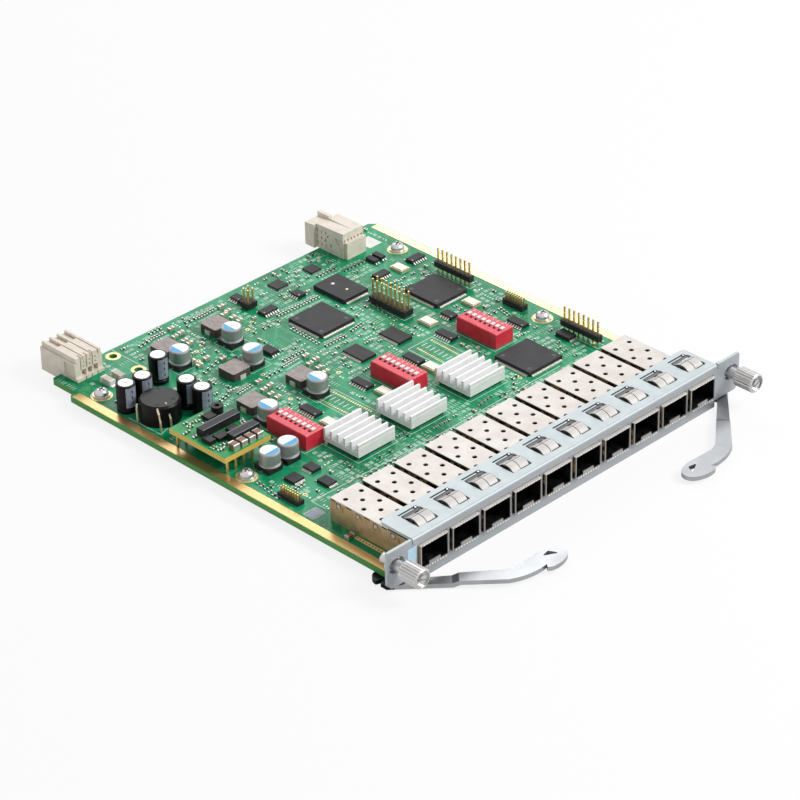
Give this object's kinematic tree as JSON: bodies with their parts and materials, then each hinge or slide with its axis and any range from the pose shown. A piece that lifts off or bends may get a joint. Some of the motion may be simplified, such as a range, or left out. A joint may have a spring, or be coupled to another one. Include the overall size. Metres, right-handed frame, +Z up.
{
  "type": "wdm transponder card",
  "caption": "Plug-in optical transponder card: board behind a folded faceplate with a row of pluggable-module cages, ejector levers, captive thumbscrews and rear connectors.",
  "frame": {"origin": "bottom centre of the card's box: half its width, half its depth with the levers, and the faceplate's lower edge", "axes": "+Y from the faceplate to the rear connectors, +X along the faceplate to the right as seen from the front, +Z up from the board's component side"},
  "size_m": [0.1914, 0.24, 0.0195],
  "materials": {
    "solder_mask": "glossy teal-green solder mask over glass-fibre board",
    "gold_plating": "thin gold-plated copper",
    "faceplate_steel": "bright zinc-plated steel sheet",
    "spring_steel": "bright spring steel",
    "cage_steel": "bright nickel-plated sheet",
    "cover_steel": "bright nickel-plated sheet",
    "host_plastic": "matt black moulding",
    "polished_steel": "polished steel",
    "rivet_steel": "plain steel",
    "nickel": "bright nickel-plated steel",
    "ring_steel": "bright spring steel",
    "screw_steel": "bright plated steel",
    "washer_steel": "plated steel",
    "standoff_brass": "nickel-plated brass",
    "switch_red": "red moulded plastic",
    "heatsink_aluminium": "plain aluminium",
    "chip_epoxy": "matt black epoxy",
    "crystal_can": "metal lid on a ceramic base",
    "capacitor_sleeve": "black heat-shrink sleeve",
    "choke_sleeve": "black heat-shrink sleeve",
    "can_aluminium": "plain aluminium",
    "base_plastic": "black moulding",
    "ferrite_grey": "grey ferrite",
    "module_mask": "green solder mask on a tan board",
    "ferrite_black": "dark ferrite",
    "module_parts": "dark epoxy and ceramic",
    "tinned_pins": "tinned copper",
    "header_plastic": "black moulding",
    "gilt_pins": "gold-plated pins",
    "connector_beige": "beige moulding",
    "slider_white": "white moulded plastic"
  },
  "bodies": {
    "card": {"main_board": "solder_mask", "ground_strips": "gold_plating", "faceplate": "faceplate_steel", "port_springs": "spring_steel", "cage_tubs": "cage_steel", "cage_covers": "cover_steel", "host_connectors": "host_plastic", "lever_pins": "rivet_steel", "board_screws": "screw_steel", "screw_washers": "washer_steel", "standoffs": "standoff_brass", "switch_housings": "switch_red", "heatsinks": "heatsink_aluminium", "large_chips": "chip_epoxy", "small_chips": "chip_epoxy", "crystals": "crystal_can", "tall_capacitors": "capacitor_sleeve", "choke": "choke_sleeve", "can_capacitors": "can_aluminium", "can_bases": "base_plastic", "inductors": "ferrite_grey", "converter_board": "module_mask", "converter_cores": "ferrite_black", "converter_parts": "module_parts", "converter_pins": "tinned_pins", "header_bodies": "header_plastic", "header_pins": "gilt_pins", "power_connector": "connector_beige", "data_connector": "connector_beige"},
    "lever_left_body": {"lever_left": "polished_steel"},
    "lever_right_body": {"lever_right": "polished_steel"},
    "screw_carrier_left": {"retaining_ring_left": "ring_steel"},
    "screw_left": {"thumbscrew_left": "nickel"},
    "screw_carrier_right": {"retaining_ring_right": "ring_steel"},
    "screw_right": {"thumbscrew_right": "nickel"},
    "slider_1_1_body": {"slider_1_1": "slider_white"},
    "slider_1_2_body": {"slider_1_2": "slider_white"},
    "slider_1_3_body": {"slider_1_3": "slider_white"},
    "slider_1_4_body": {"slider_1_4": "slider_white"},
    "slider_1_5_body": {"slider_1_5": "slider_white"},
    "slider_1_6_body": {"slider_1_6": "slider_white"},
    "slider_1_7_body": {"slider_1_7": "slider_white"},
    "slider_1_8_body": {"slider_1_8": "slider_white"},
    "slider_2_1_body": {"slider_2_1": "slider_white"},
    "slider_2_2_body": {"slider_2_2": "slider_white"},
    "slider_2_3_body": {"slider_2_3": "slider_white"},
    "slider_2_4_body": {"slider_2_4": "slider_white"},
    "slider_2_5_body": {"slider_2_5": "slider_white"},
    "slider_2_6_body": {"slider_2_6": "slider_white"},
    "slider_2_7_body": {"slider_2_7": "slider_white"},
    "slider_2_8_body": {"slider_2_8": "slider_white"},
    "slider_3_1_body": {"slider_3_1": "slider_white"},
    "slider_3_2_body": {"slider_3_2": "slider_white"},
    "slider_3_3_body": {"slider_3_3": "slider_white"},
    "slider_3_4_body": {"slider_3_4": "slider_white"},
    "slider_3_5_body": {"slider_3_5": "slider_white"},
    "slider_3_6_body": {"slider_3_6": "slider_white"},
    "slider_3_7_body": {"slider_3_7": "slider_white"},
    "slider_3_8_body": {"slider_3_8": "slider_white"}
  },
  "joints": [
    {"name": "lever_left_swing", "type": "hinge", "parent": "card", "child": "lever_left_body", "pos_m": [-0.08715, -0.08062, 0.0015], "axis": [0, 0, -1], "range_deg": [0, 48]},
    {"name": "lever_right_swing", "type": "hinge", "parent": "card", "child": "lever_right_body", "pos_m": [0.08715, -0.08062, 0.0015], "axis": [0, 0, 1], "range_deg": [0, 48]},
    {"name": "screw_left_travel", "type": "slide", "parent": "card", "child": "screw_carrier_left", "axis": [0, 1, 0], "range_m": [0, 0.0039]},
    {"name": "screw_left_turn", "type": "hinge", "parent": "screw_carrier_left", "child": "screw_left", "pos_m": [-0.09095, -0.09612, 0.0118], "axis": [0, 1, 0], "continuous": true},
    {"name": "screw_right_travel", "type": "slide", "parent": "card", "child": "screw_carrier_right", "axis": [0, 1, 0], "range_m": [0, 0.0039]},
    {"name": "screw_right_turn", "type": "hinge", "parent": "screw_carrier_right", "child": "screw_right", "pos_m": [0.09095, -0.09612, 0.0118], "axis": [0, 1, 0], "continuous": true},
    {"name": "slider_1_1_slide", "type": "slide", "parent": "card", "child": "slider_1_1_body", "axis": [-1, 0, 0], "range_m": [0, 0.0015]},
    {"name": "slider_1_2_slide", "type": "slide", "parent": "card", "child": "slider_1_2_body", "axis": [-1, 0, 0], "range_m": [0, 0.0015]},
    {"name": "slider_1_3_slide", "type": "slide", "parent": "card", "child": "slider_1_3_body", "axis": [-1, 0, 0], "range_m": [0, 0.0015]},
    {"name": "slider_1_4_slide", "type": "slide", "parent": "card", "child": "slider_1_4_body", "axis": [-1, 0, 0], "range_m": [0, 0.0015]},
    {"name": "slider_1_5_slide", "type": "slide", "parent": "card", "child": "slider_1_5_body", "axis": [-1, 0, 0], "range_m": [0, 0.0015]},
    {"name": "slider_1_6_slide", "type": "slide", "parent": "card", "child": "slider_1_6_body", "axis": [-1, 0, 0], "range_m": [0, 0.0015]},
    {"name": "slider_1_7_slide", "type": "slide", "parent": "card", "child": "slider_1_7_body", "axis": [-1, 0, 0], "range_m": [0, 0.0015]},
    {"name": "slider_1_8_slide", "type": "slide", "parent": "card", "child": "slider_1_8_body", "axis": [-1, 0, 0], "range_m": [0, 0.0015]},
    {"name": "slider_2_1_slide", "type": "slide", "parent": "card", "child": "slider_2_1_body", "axis": [-1, 0, 0], "range_m": [0, 0.0015]},
    {"name": "slider_2_2_slide", "type": "slide", "parent": "card", "child": "slider_2_2_body", "axis": [-1, 0, 0], "range_m": [0, 0.0015]},
    {"name": "slider_2_3_slide", "type": "slide", "parent": "card", "child": "slider_2_3_body", "axis": [-1, 0, 0], "range_m": [0, 0.0015]},
    {"name": "slider_2_4_slide", "type": "slide", "parent": "card", "child": "slider_2_4_body", "axis": [-1, 0, 0], "range_m": [0, 0.0015]},
    {"name": "slider_2_5_slide", "type": "slide", "parent": "card", "child": "slider_2_5_body", "axis": [-1, 0, 0], "range_m": [0, 0.0015]},
    {"name": "slider_2_6_slide", "type": "slide", "parent": "card", "child": "slider_2_6_body", "axis": [-1, 0, 0], "range_m": [0, 0.0015]},
    {"name": "slider_2_7_slide", "type": "slide", "parent": "card", "child": "slider_2_7_body", "axis": [-1, 0, 0], "range_m": [0, 0.0015]},
    {"name": "slider_2_8_slide", "type": "slide", "parent": "card", "child": "slider_2_8_body", "axis": [-1, 0, 0], "range_m": [0, 0.0015]},
    {"name": "slider_3_1_slide", "type": "slide", "parent": "card", "child": "slider_3_1_body", "axis": [-1, 0, 0], "range_m": [0, 0.0015]},
    {"name": "slider_3_2_slide", "type": "slide", "parent": "card", "child": "slider_3_2_body", "axis": [-1, 0, 0], "range_m": [0, 0.0015]},
    {"name": "slider_3_3_slide", "type": "slide", "parent": "card", "child": "slider_3_3_body", "axis": [-1, 0, 0], "range_m": [0, 0.0015]},
    {"name": "slider_3_4_slide", "type": "slide", "parent": "card", "child": "slider_3_4_body", "axis": [-1, 0, 0], "range_m": [0, 0.0015]},
    {"name": "slider_3_5_slide", "type": "slide", "parent": "card", "child": "slider_3_5_body", "axis": [-1, 0, 0], "range_m": [0, 0.0015]},
    {"name": "slider_3_6_slide", "type": "slide", "parent": "card", "child": "slider_3_6_body", "axis": [-1, 0, 0], "range_m": [0, 0.0015]},
    {"name": "slider_3_7_slide", "type": "slide", "parent": "card", "child": "slider_3_7_body", "axis": [-1, 0, 0], "range_m": [0, 0.0015]},
    {"name": "slider_3_8_slide", "type": "slide", "parent": "card", "child": "slider_3_8_body", "axis": [-1, 0, 0], "range_m": [0, 0.0015]}
  ]
}
